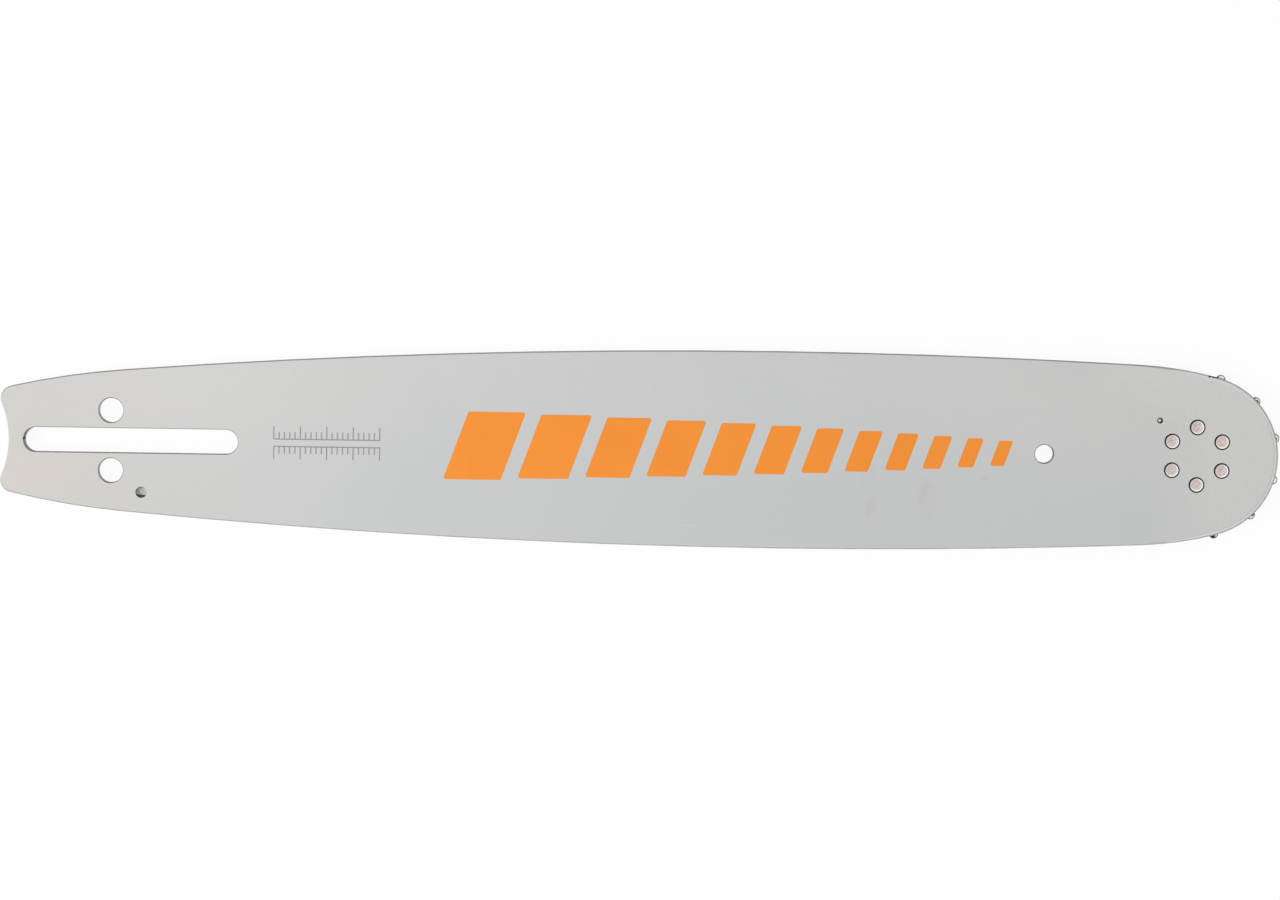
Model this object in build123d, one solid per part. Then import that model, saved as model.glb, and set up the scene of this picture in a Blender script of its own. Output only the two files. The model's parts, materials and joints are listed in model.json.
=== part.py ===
from build123d import *
from math import acos, asin, cos, degrees, floor, pi, sin, sqrt
import os

# Chainsaw guide bar with a sprocket nose, lying flat on one face, in millimetres.
# The origin is on the lower face at the middle of the stud slot.
# +X runs along the bar to the nose, +Y across it and +Z up.
# Two side plates and a narrower core are welded into one bar, with the chain groove left round the core.
# At the nose a toothed wheel turns on loose rollers round a race that rivets hold between the plates.

# Plies
side_plate_thickness = 1.35
groove_gauge = 1.5
groove_depth = 6.3
edge_break_depth = 0.25
flank_break_width = 0.3
nose_break_width = 0.55
face_bevel_depth = 0.12
flank_bevel_width = 0.05
nose_bevel_width = 0.95
hole_edge_break = 0.25

# Nose rivets, with a fine ring groove left round each ground head
rivet_count = 6
rivet_first_angle = 30.0
rivet_circle_diameter = 20.0
rivet_shank_diameter = 4.3
countersink_lip = 0.62
rivet_ring_width = 0.49
rivet_ring_depth = 0.25

# Nose bearing, from the rivets outwards
race_rim = 4.25
roller_diameter = 2.96
roller_spacing_gap = 0.05
roller_end_flat = 1.2
roller_end_drop = 0.15
bearing_clearance = 0.02
side_clearance = 0.1

# Nose sprocket
tooth_count = 12
first_tooth_angle = 13.5
sprocket_wall = 2.6
tooth_height = 7.43
tooth_web = 5.46
tooth_tip_round = 1.65
tooth_edge_break = 0.3
tooth_protrusion = 1.23
pocket_clearance = 0.4

# Outline seen from above
nose_reach = 370.1
shoulder_rise = 2.15
shoulder_radius = 125.0
belly_setback = 145.4
belly_rise = 3.9
tail_bend_setback = 2.6
tail_drop = 9.6
tail_radius = 276.0
rear_wall = 5.1
rear_hollow_radius = 31.3
rear_corner_radius = 4.5

# Holes through the bar
slot_length = 74.4
slot_width = 8.5
core_slot_step = 0.5
tension_hole_diameter = 8.5
tension_hole_setback = 6.85
tension_web = 1.95
hang_hole_diameter = 6.4
hang_hole_setback = 53.05

# Holes in one side plate only
oil_hole_diameter = 4.0
oil_hole_advance = 3.8
oil_hole_reach = 1.0
grease_hole_diameter = 2.1
grease_hole_angle = 137.0

# Heights of the plies
bar_thickness = 2 * side_plate_thickness + groove_gauge
core_bottom = side_plate_thickness
upper_plate_bottom = side_plate_thickness + groove_gauge
middle_height = bar_thickness / 2

# Radii round the nose axis, each carried by the one before it
rivet_shank_radius = rivet_shank_diameter / 2
rivet_circle_radius = rivet_circle_diameter / 2
race_radius = rivet_circle_radius + rivet_shank_radius + race_rim
roller_radius = roller_diameter / 2
roller_circle_radius = race_radius + bearing_clearance + roller_radius
sprocket_bore_radius = roller_circle_radius + roller_radius + bearing_clearance
tooth_root_radius = sprocket_bore_radius + sprocket_wall
tooth_tip_radius = tooth_root_radius + tooth_height
nose_radius = tooth_tip_radius - tooth_protrusion
pocket_radius = tooth_tip_radius + pocket_clearance
roller_count = floor(pi / asin((roller_radius + roller_spacing_gap / 2) / roller_circle_radius))
wheel_thickness = groove_gauge - 2 * side_clearance
wheel_bottom = core_bottom + side_clearance

# Stations and arcs of the upper flank, which the lower flank mirrors
nose_centre = Vector(nose_reach, 0)
belly_x = nose_reach - belly_setback
tail_bend_x = -tail_bend_setback
belly_half_width = nose_radius + shoulder_rise + belly_rise
front_belly_radius = (belly_setback**2 + belly_rise**2) / (2 * belly_rise)
front_belly_centre = Vector(belly_x, belly_half_width - front_belly_radius)
rear_belly_radius = ((belly_x - tail_bend_x) ** 2 + tail_drop**2) / (2 * tail_drop)
rear_belly_centre = Vector(belly_x, belly_half_width - rear_belly_radius)
tail_bend = Vector(tail_bend_x, belly_half_width - tail_drop)
tail_bend_normal = (tail_bend - rear_belly_centre).normalized()
tail_centre = tail_bend - tail_bend_normal * tail_radius
rear_x = -slot_length / 2 - rear_wall
rear_hollow_centre = Vector(rear_x - rear_hollow_radius, 0)
blank_end_x = rear_x - rear_hollow_radius / 2


def mirrored(point):
    """The same point on the lower flank."""
    return Vector(point.X, -point.Y)


def short_arc(centre, start, end):
    """Arc of less than half a turn about a centre."""
    towards_middle = ((start + end) * 0.5 - centre).normalized()
    middle = centre + towards_middle * (start - centre).length
    return ThreePointArc(start, middle, end)


def flank_half_width(x):
    """Half the width of the bar behind its widest place."""
    centre, radius = rear_belly_centre, rear_belly_radius
    if x < tail_bend_x:
        centre, radius = tail_centre, tail_radius
    return centre.Y + sqrt(radius**2 - (x - centre.X) ** 2)


def shoulder_centre(front, shoulder, nose):
    """Centre of the arc that touches the front belly arc and the nose arc, on the tail's side of the nose."""
    apart = nose_centre - front_belly_centre
    along = apart.normalized()
    to_belly = front - shoulder
    to_nose = shoulder - nose
    reach = (to_belly**2 - to_nose**2 + apart.length**2) / (2 * apart.length)
    aside = sqrt(to_belly**2 - reach**2)
    return front_belly_centre + along * reach + Vector(-along.Y, along.X) * aside


def bar_outline(flank_inset, nose_inset):
    """Face of the bar seen from above, with its flanks and its nose set in by these widths."""
    nose = nose_radius - nose_inset
    front = front_belly_radius - flank_inset
    rear = rear_belly_radius - flank_inset
    shoulder = shoulder_radius - flank_inset
    tail = tail_radius - flank_inset

    touch_centre = shoulder_centre(front, shoulder, nose)
    belly_touch = front_belly_centre + (touch_centre - front_belly_centre).normalized() * front
    nose_touch = nose_centre + (nose_centre - touch_centre).normalized() * nose
    nose_tip = nose_centre + Vector(nose, 0)
    widest = Vector(belly_x, belly_half_width - flank_inset)
    bend = rear_belly_centre + tail_bend_normal * rear
    tail_end = Vector(blank_end_x, tail_centre.Y + sqrt(tail**2 - (blank_end_x - tail_centre.X) ** 2))

    upper_arcs = [
        (tail_centre, tail_end, bend),
        (rear_belly_centre, bend, widest),
        (front_belly_centre, widest, belly_touch),
        (touch_centre, belly_touch, nose_touch),
    ]
    edges = [short_arc(*arc) for arc in upper_arcs]
    edges.append(ThreePointArc(nose_touch, nose_tip, mirrored(nose_touch)))
    edges += [short_arc(*(mirrored(point) for point in arc)) for arc in upper_arcs]
    edges.append(Line(tail_end, mirrored(tail_end)))

    blank = make_face(edges) - Pos(rear_hollow_centre) * Circle(rear_hollow_radius)
    corners = blank.vertices().group_by(Axis.X)[0]
    return fillet(corners, rear_corner_radius)


def through_hole_sketches(tail_step):
    """Stud slot, tension holes and hang hole in their places, with the slot's tail end set in by a step."""
    tension_y = slot_width / 2 + tension_web + tension_hole_diameter / 2
    sketches = [Pos(tail_step / 2, 0) * SlotOverall(slot_length - tail_step, slot_width)]
    for side in (1, -1):
        sketches.append(Pos(-tension_hole_setback, side * tension_y) * Circle(tension_hole_diameter / 2))
    sketches.append(Pos(nose_reach - hang_hole_setback, 0) * Circle(hang_hole_diameter / 2))
    return sketches


def oil_hole_place(side):
    """Centre of the oil hole near one flank, with its rim reaching out over the chain groove."""
    inset = groove_depth + oil_hole_diameter / 2 - oil_hole_reach
    return Pos(oil_hole_advance, side * (flank_half_width(oil_hole_advance) - inset))


def rivet_places():
    """Places of the rivets round the nose axis."""
    ring = PolarLocations(rivet_circle_radius, rivet_count, start_angle=rivet_first_angle)
    return [Pos(nose_centre) * place for place in ring]


def side_plate():
    """Side plate with its inner face at height zero, a broken outer edge and a bevel round the nose."""
    bevel_bottom = side_plate_thickness - face_bevel_depth
    wall_top = bevel_bottom - edge_break_depth
    outline = bar_outline(0, 0)
    bevel_outline = bar_outline(flank_break_width, nose_break_width)
    face_outline = bar_outline(flank_break_width + flank_bevel_width, nose_break_width + nose_bevel_width)
    plate = extrude(outline, amount=wall_top)
    wall_section = Pos(0, 0, wall_top) * outline
    bevel_section = Pos(0, 0, bevel_bottom) * bevel_outline
    face_section = Pos(0, 0, side_plate_thickness) * face_outline
    plate += loft([wall_section, bevel_section], ruled=True)
    plate += loft([bevel_section, face_section], ruled=True)

    for sketch in through_hole_sketches(0):
        plate -= extrude(sketch, amount=side_plate_thickness)
        break_bottom = Pos(0, 0, side_plate_thickness - hole_edge_break) * sketch
        mouth = Pos(0, 0, side_plate_thickness) * offset(sketch, amount=hole_edge_break)
        plate -= loft([break_bottom, mouth], ruled=True)

    plate -= extrude(oil_hole_place(-1) * Circle(oil_hole_diameter / 2), amount=side_plate_thickness)
    grease_place = Pos(nose_centre) * Rot(0, 0, grease_hole_angle) * Pos(roller_circle_radius, 0)
    plate -= extrude(grease_place * Circle(grease_hole_diameter / 2), amount=side_plate_thickness)

    mouth_radius = rivet_shank_radius + countersink_lip
    mouth_bottom = side_plate_thickness - countersink_lip
    lifted = (Align.CENTER, Align.CENTER, Align.MIN)
    for place in rivet_places():
        plate -= place * Cylinder(rivet_shank_radius, side_plate_thickness, align=lifted)
        plate -= place * Pos(0, 0, mouth_bottom) * Cone(
            rivet_shank_radius, mouth_radius, countersink_lip, align=lifted
        )
    return plate


def core_plate():
    """Core ply, narrower than the plates, with its front cut away for the sprocket."""
    sketch = bar_outline(groove_depth, groove_depth)
    sketch -= Pos(nose_centre) * Circle(pocket_radius)
    for hole in through_hole_sketches(core_slot_step):
        sketch -= hole
    return Pos(0, 0, core_bottom) * extrude(sketch, amount=groove_gauge)


def rivet():
    """One rivet, ground flush at both ends, standing on its own axis at height zero."""
    groove_radius = rivet_shank_radius + countersink_lip - rivet_ring_depth
    face_radius = rivet_shank_radius + countersink_lip - rivet_ring_width
    half = [
        (0, 0),
        (face_radius, 0),
        (groove_radius, rivet_ring_depth),
        (rivet_shank_radius, countersink_lip),
        (rivet_shank_radius, middle_height),
        (0, middle_height),
    ]
    lower = revolve(Plane.XZ * make_face(Polyline(*half, close=True)), Axis.Z)
    upper = mirror(lower, Plane.XY.offset(middle_height))
    return lower + upper


def bearing_race():
    """Disc between the side plates that the rollers run round."""
    sketch = Pos(nose_centre) * Circle(race_radius)
    for place in rivet_places():
        sketch -= place * Circle(rivet_shank_radius)
    return Pos(0, 0, core_bottom) * extrude(sketch, amount=groove_gauge)


def nose_sprocket():
    """Toothed wheel with round gullets, straight tooth flanks, rounded tips and broken edges."""
    tooth_angle = 360 / tooth_count
    half_pitch = pi / tooth_count
    gullet_radius = (tooth_root_radius * sin(half_pitch) - tooth_web / 2) / (1 - sin(half_pitch))
    gullet_circle_radius = tooth_root_radius + gullet_radius
    tip_centre = Vector(tooth_tip_radius - tooth_tip_round, 0)
    gullet_centre = Vector(gullet_circle_radius * cos(half_pitch), gullet_circle_radius * sin(half_pitch))
    gullet_floor = Vector(tooth_root_radius * cos(half_pitch), tooth_root_radius * sin(half_pitch))

    across = gullet_centre - tip_centre
    lean = acos((tooth_tip_round + gullet_radius) / across.length)
    flank_normal = across.normalized().rotate(Axis.Z, -degrees(lean))
    tip_end = tip_centre + flank_normal * tooth_tip_round
    gullet_start = gullet_centre - flank_normal * gullet_radius
    gullet_end = mirrored(gullet_start).rotate(Axis.Z, tooth_angle)
    next_tip_start = mirrored(tip_end).rotate(Axis.Z, tooth_angle)

    tooth = [
        ThreePointArc(mirrored(tip_end), Vector(tooth_tip_radius, 0), tip_end),
        Line(tip_end, gullet_start),
        ThreePointArc(gullet_start, gullet_floor, gullet_end),
        Line(gullet_end, next_tip_start),
    ]
    turns = [Rot(0, 0, first_tooth_angle + tooth_angle * index) for index in range(tooth_count)]
    profile = make_face([turn * edge for turn in turns for edge in tooth])
    profile -= Circle(sprocket_bore_radius)
    wheel = Pos(nose_reach, 0, wheel_bottom) * extrude(profile, amount=wheel_thickness)
    layers = wheel.faces().group_by(Axis.Z)
    rims = [layers[0][0].outer_wire(), layers[-1][0].outer_wire()]
    return chamfer([edge for rim in rims for edge in rim.edges()], tooth_edge_break)


def bearing_roller():
    """One roller with sloping rims round its flat ends, standing on its own axis at height zero."""
    half = [
        (0, 0),
        (roller_end_flat / 2, 0),
        (roller_radius, roller_end_drop),
        (roller_radius, wheel_thickness - roller_end_drop),
        (roller_end_flat / 2, wheel_thickness),
        (0, wheel_thickness),
    ]
    return revolve(Plane.XZ * make_face(Polyline(*half, close=True)), Axis.Z)


def bearing_rollers():
    """Loose rollers between the race and the sprocket, the first of them under the grease hole."""
    ring = PolarLocations(roller_circle_radius, roller_count, start_angle=grease_hole_angle)
    return [Pos(nose_reach, 0, wheel_bottom) * place * bearing_roller() for place in ring]


def assembly():
    """Every node of the bar by its name."""
    outer_plate = side_plate()
    long_axis = Axis((0, 0, middle_height), (1, 0, 0))
    upper_plate = Pos(0, 0, upper_plate_bottom) * outer_plate
    nodes = {
        "side_plate_upper": upper_plate,
        "side_plate_lower": upper_plate.rotate(long_axis, 180),
        "core_plate": core_plate(),
        "bearing_race": bearing_race(),
        "nose_rivets": Compound([place * rivet() for place in rivet_places()]),
        "nose_sprocket": nose_sprocket(),
    }
    for number, roller in enumerate(bearing_rollers(), start=1):
        nodes[f"bearing_roller_{number:02d}"] = roller
    return nodes


os.makedirs("parts", exist_ok=True)
for name, shape in assembly().items():
    export_step(shape, f"parts/{name}.step")
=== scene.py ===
"""Looks of a chainsaw guide bar that lies on a pale studio floor and is seen from above.

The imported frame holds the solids, in metres: the origin is on the lower face at the middle of the stud
slot, +X runs to the nose and +Z up. This file gives each solid its finish, prints the upper face, and
sets the floor, the lamps and the camera round them.
"""

import json
import logging
import math
from dataclasses import dataclass
from enum import Enum

import bmesh
import bpy
from mathutils import Matrix, Vector


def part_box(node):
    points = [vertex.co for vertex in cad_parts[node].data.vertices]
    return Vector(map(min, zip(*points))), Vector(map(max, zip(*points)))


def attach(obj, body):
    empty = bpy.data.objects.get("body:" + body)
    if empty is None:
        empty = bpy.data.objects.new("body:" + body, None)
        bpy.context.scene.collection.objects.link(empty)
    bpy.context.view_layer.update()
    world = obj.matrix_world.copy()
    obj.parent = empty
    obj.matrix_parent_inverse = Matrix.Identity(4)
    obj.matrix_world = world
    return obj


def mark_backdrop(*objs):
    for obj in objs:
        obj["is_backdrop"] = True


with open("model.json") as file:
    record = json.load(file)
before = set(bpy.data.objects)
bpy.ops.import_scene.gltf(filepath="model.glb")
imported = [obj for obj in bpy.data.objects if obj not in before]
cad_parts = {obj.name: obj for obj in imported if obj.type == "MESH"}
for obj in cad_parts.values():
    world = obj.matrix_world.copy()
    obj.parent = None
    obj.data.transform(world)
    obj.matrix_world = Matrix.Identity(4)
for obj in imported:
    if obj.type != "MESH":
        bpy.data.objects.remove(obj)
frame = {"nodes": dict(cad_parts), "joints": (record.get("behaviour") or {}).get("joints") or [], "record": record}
log = logging.getLogger("guide_bar")

Colour = tuple[float, float, float]
Socket = bpy.types.NodeSocket
Feed = Socket | float | Colour


def srgb(red: int, green: int, blue: int) -> Colour:
    """Turns a colour as a screen shows it into the linear one that shaders use.

    Args:
        red: Red, from 0 to 255.
        green: Green, from 0 to 255.
        blue: Blue, from 0 to 255.

    Returns:
        The three linear values, from 0 to 1.
    """
    shares = [value / 255 for value in (red, green, blue)]
    return tuple(s / 12.92 if s <= 0.04045 else ((s + 0.055) / 1.055) ** 2.4 for s in shares)


class Ink(Enum):
    """The two colours that the upper face is printed in."""

    ORANGE = "print_orange"
    GREY = "print_grey"


class Slot(Enum):
    """The record's material slots."""

    PAINT = "bar_paint"
    CORE = "core_steel"
    BEARING = "bearing_steel"
    RIVET = "rivet_steel"
    SPROCKET = "sprocket_steel"


class Axis(Enum):
    """Axes that a face can look along, numbered as a place's coordinates are."""

    ACROSS = 1
    UP = 2


@dataclass(frozen=True)
class Span:
    """A smooth change from one level to another, and the range of the driving value that it takes."""

    start: float
    end: float
    low: float = 0.0
    high: float = 1.0


@dataclass(frozen=True)
class Pattern:
    """Cloudy noise: clouds to the metre, finer layers, and how it is scaled along the axes and turned."""

    scale: float
    detail: float
    stretch: Colour | None = None
    turn: float = 0.0


# How flat a face has to look to count as a broken edge, as ground or rolled steel, and as painted
SLOPED = Span(0.5, 0.65)
FLAT_STEEL = 0.95
FLAT_PAINT = 0.995

# Shine of paint and ink, and the soft rim of a dark spot, such as a painted shade spot
SATIN_SPECULAR = 0.35
SPOT_FADE = Span(0.5, 1.4, 1.0, 0.0)

# Rays that look for what surrounds a point
SHELTER_RAYS = 8


@dataclass(frozen=True)
class BarFrame:
    """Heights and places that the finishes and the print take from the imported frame."""

    upper_face: float
    middle: float
    nose: Vector
    rivet_circle: float
    rivet_head: float
    tooth_tip: float

    @classmethod
    def measured(cls) -> "BarFrame":
        """Reads the sizes off the solids and the sprocket's joint.

        Returns:
            The sizes in metres.
        """
        upper_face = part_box("side_plate_upper")[1].z
        nose = Vector(frame["joints"][0]["pos_m"])
        rivets = cls.reaches("nose_rivets", nose)
        return cls(
            upper_face=upper_face,
            middle=upper_face / 2,
            nose=nose,
            rivet_circle=(max(rivets) + min(rivets)) / 2,
            rivet_head=(max(rivets) - min(rivets)) / 2,
            tooth_tip=max(cls.reaches("nose_sprocket", nose)),
        )

    @staticmethod
    def reaches(node: str, nose: Vector) -> list[float]:
        """Gives how far each corner of a solid lies from the nose axis.

        Args:
            node: Name of the solid.
            nose: A point on the nose axis.

        Returns:
            The distances in metres.
        """
        return [(vertex.co.xy - nose.xy).length for vertex in frame["nodes"][node].data.vertices]


class Bench:
    """Node tree of one new material, with a short call for each kind of node that the finishes use."""

    def __init__(self, name: str) -> None:
        """Starts a material with its surface shader in place.

        Args:
            name: Name of the material.
        """
        self.material = bpy.data.materials.new(name)
        self.material.use_nodes = True
        self.tree = self.material.node_tree
        self.surface = self.tree.nodes["Principled BSDF"]

    def add(self, kind: str, **settings: object) -> bpy.types.Node:
        """Adds a node.

        Args:
            kind: Blender's name of the node's type.
            settings: Properties of the node by name.

        Returns:
            The node.
        """
        node = self.tree.nodes.new(kind)
        for name, value in settings.items():
            setattr(node, name, value)
        return node

    def feed(self, target: Socket, value: Feed) -> None:
        """Links a socket to an input, or sets the input to a constant.

        Args:
            target: The input.
            value: A socket, a number or a colour.
        """
        if isinstance(value, bpy.types.NodeSocket):
            self.tree.links.new(value, target)
        elif target.type == "RGBA":
            target.default_value = (*value, 1.0)
        else:
            target.default_value = value

    def dress(self, **inputs: Feed) -> bpy.types.Material:
        """Feeds the surface shader.

        Args:
            inputs: Inputs of the shader by name, with an underscore for each space.

        Returns:
            The finished material.
        """
        for name, value in inputs.items():
            self.feed(self.surface.inputs[name.replace("_", " ")], value)
        return self.material

    def place(self) -> Socket:
        """Gives each point's place in the bar's frame."""
        return self.add("ShaderNodeTexCoord").outputs["Object"]

    def axes(self, place: Socket) -> tuple[Socket, Socket, Socket]:
        """Splits a place into its three coordinates."""
        node = self.add("ShaderNodeSeparateXYZ")
        self.feed(node.inputs[0], place)
        return node.outputs[0], node.outputs[1], node.outputs[2]

    def facing(self, axis: Axis = Axis.UP) -> Socket:
        """Gives how squarely a face looks along an axis, one way or the other.

        Args:
            axis: The axis.

        Returns:
            0 on a face that lies along the axis and 1 on a face square to it.
        """
        normal = self.add("ShaderNodeNewGeometry").outputs["True Normal"]
        return self.math("ABSOLUTE", self.axes(normal)[axis.value])

    def shelter(self, reach: float, **settings: object) -> Socket:
        """Gives how much of what surrounds a point is blocked.

        Args:
            reach: How far round the point is looked, in metres.
            settings: Properties of the node by name.

        Returns:
            0 in the open, rising to 1 where all is blocked.
        """
        node = self.add("ShaderNodeAmbientOcclusion", samples=SHELTER_RAYS, **settings)
        node.inputs["Distance"].default_value = reach
        return self.inverse(node.outputs["AO"])

    def edge_nearness(self, reach: float) -> Socket:
        """Gives a mask that rises towards the sharp outer edges of the solid, within a reach in metres."""
        return self.shelter(reach, inside=True, only_local=True)

    def crevice(self, reach: float) -> Socket:
        """Gives a mask that rises in grooves and inner corners, within a reach in metres."""
        return self.shelter(reach)

    def math(self, operation: str, first: Feed, second: Feed = 0.0, third: Feed = 0.0) -> Socket:
        """Works on up to three numbers.

        Args:
            operation: Blender's name of the operation.
            first: First number.
            second: Second number.
            third: Third number.

        Returns:
            The result.
        """
        node = self.add("ShaderNodeMath", operation=operation)
        for target, value in zip(node.inputs, (first, second, third)):
            self.feed(target, value)
        return node.outputs[0]

    def product(self, first: Feed, *others: Feed) -> Socket:
        """Multiplies numbers."""
        result = first
        for other in others:
            result = self.math("MULTIPLY", result, other)
        return result

    def inverse(self, value: Feed) -> Socket:
        """Gives what is left of 1 when a number is taken from it."""
        return self.math("SUBTRACT", 1.0, value)

    def above(self, value: Feed, limit: Feed) -> Socket:
        """Gives 1 where a number is over a limit and 0 elsewhere."""
        return self.math("GREATER_THAN", value, limit)

    def below(self, value: Feed, limit: Feed) -> Socket:
        """Gives 1 where a number is under a limit and 0 elsewhere."""
        return self.math("LESS_THAN", value, limit)

    def length(self, first: Socket, second: Socket) -> Socket:
        """Gives the distance that two steps, square to each other, cover."""
        squares = self.math("ADD", self.math("POWER", first, 2.0), self.math("POWER", second, 2.0))
        return self.math("SQRT", squares)

    def ramp(self, value: Feed, span: Span) -> Socket:
        """Moves smoothly from one level to another over a range, and stays level outside it.

        Args:
            value: The number that drives the ramp.
            span: The range and the levels.

        Returns:
            The level.
        """
        node = self.add("ShaderNodeMapRange", interpolation_type="SMOOTHSTEP")
        for target, number in zip(node.inputs, (value, span.start, span.end, span.low, span.high)):
            self.feed(target, number)
        return node.outputs[0]

    def noise(self, place: Socket, pattern: Pattern) -> Socket:
        """Gives cloudy noise.

        Args:
            place: Where it is read.
            pattern: Its fineness and how it is drawn out.

        Returns:
            The noise, about 0.5 on average.
        """
        if pattern.stretch is not None:
            mapping = self.add("ShaderNodeMapping")
            self.feed(mapping.inputs["Vector"], place)
            mapping.inputs["Rotation"].default_value = (0.0, 0.0, pattern.turn)
            mapping.inputs["Scale"].default_value = pattern.stretch
            place = mapping.outputs[0]
        node = self.add("ShaderNodeTexNoise")
        self.feed(node.inputs["Vector"], place)
        node.inputs["Scale"].default_value = pattern.scale
        node.inputs["Detail"].default_value = pattern.detail
        return node.outputs[0]

    def mix(self, share: Feed, first: Feed, second: Feed) -> Socket:
        """Mixes two colours.

        Args:
            share: Share of the second colour.
            first: First colour.
            second: Second colour.

        Returns:
            The mixed colour.
        """
        node = self.add("ShaderNodeMix", data_type="RGBA")
        for target, value in zip((node.inputs[0], node.inputs[6], node.inputs[7]), (share, first, second)):
            self.feed(target, value)
        return node.outputs[2]

    def between(self, share: Feed, first: Feed, second: Feed) -> Socket:
        """Mixes two numbers.

        Args:
            share: Share of the second number.
            first: First number.
            second: Second number.

        Returns:
            The mixed number.
        """
        node = self.add("ShaderNodeMix", data_type="FLOAT")
        for target, value in zip((node.inputs[0], node.inputs[2], node.inputs[3]), (share, first, second)):
            self.feed(target, value)
        return node.outputs[0]

    def bump(self, height: Socket, depth: float) -> Socket:
        """Raises the surface by a pattern.

        Args:
            height: The pattern.
            depth: Height of the pattern in metres.

        Returns:
            The raised normal.
        """
        node = self.add("ShaderNodeBump")
        self.feed(node.inputs["Height"], height)
        node.inputs["Distance"].default_value = depth
        return node.outputs[0]


@dataclass(frozen=True)
class Mark:
    """A small oval mark on a face, such as a rub or a ding."""

    x: float
    y: float
    half_length: float
    half_height: float
    turn: float = 0.0

    def spread(self, bench: Bench, x: Socket, y: Socket) -> Socket:
        """Gives how far out in the mark a point lies.

        Args:
            bench: The material that the mark is in.
            x: Place along the bar.
            y: Place across the bar.

        Returns:
            0 in the middle of the oval, 1 on its rim and more outside it.
        """
        cosine, sine = math.cos(self.turn), math.sin(self.turn)
        right = bench.math("SUBTRACT", x, self.x)
        up = bench.math("SUBTRACT", y, self.y)
        along = bench.math("MULTIPLY_ADD", right, cosine, bench.product(up, sine))
        across = bench.math("MULTIPLY_ADD", up, cosine, bench.product(right, -sine))
        along = bench.math("POWER", bench.math("DIVIDE", along, self.half_length), 2.0)
        across = bench.math("POWER", bench.math("DIVIDE", across, self.half_height), 2.0)
        return bench.math("ADD", along, across)


class PlatePoint:
    """What a side plate's finish reads at each point of it."""

    def __init__(self, bench: Bench, bar: BarFrame) -> None:
        """Adds the nodes that read the point.

        Args:
            bench: The material of the plate.
            bar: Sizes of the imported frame.
        """
        self.bench = bench
        self.bar = bar
        self.place = bench.place()
        self.x, self.y, z = bench.axes(self.place)
        self.facing = bench.facing()
        self.flat = bench.above(self.facing, FLAT_PAINT)
        self.upper = bench.above(z, bar.middle)
        self.height = bench.math("ABSOLUTE", bench.math("SUBTRACT", z, bar.middle))

    def within(self, depth: float) -> Socket:
        """Gives 1 within a depth of the bar's upper or lower face, in metres, and 0 deeper in."""
        return self.bench.above(self.height, self.bar.upper_face - self.bar.middle - depth)


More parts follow.
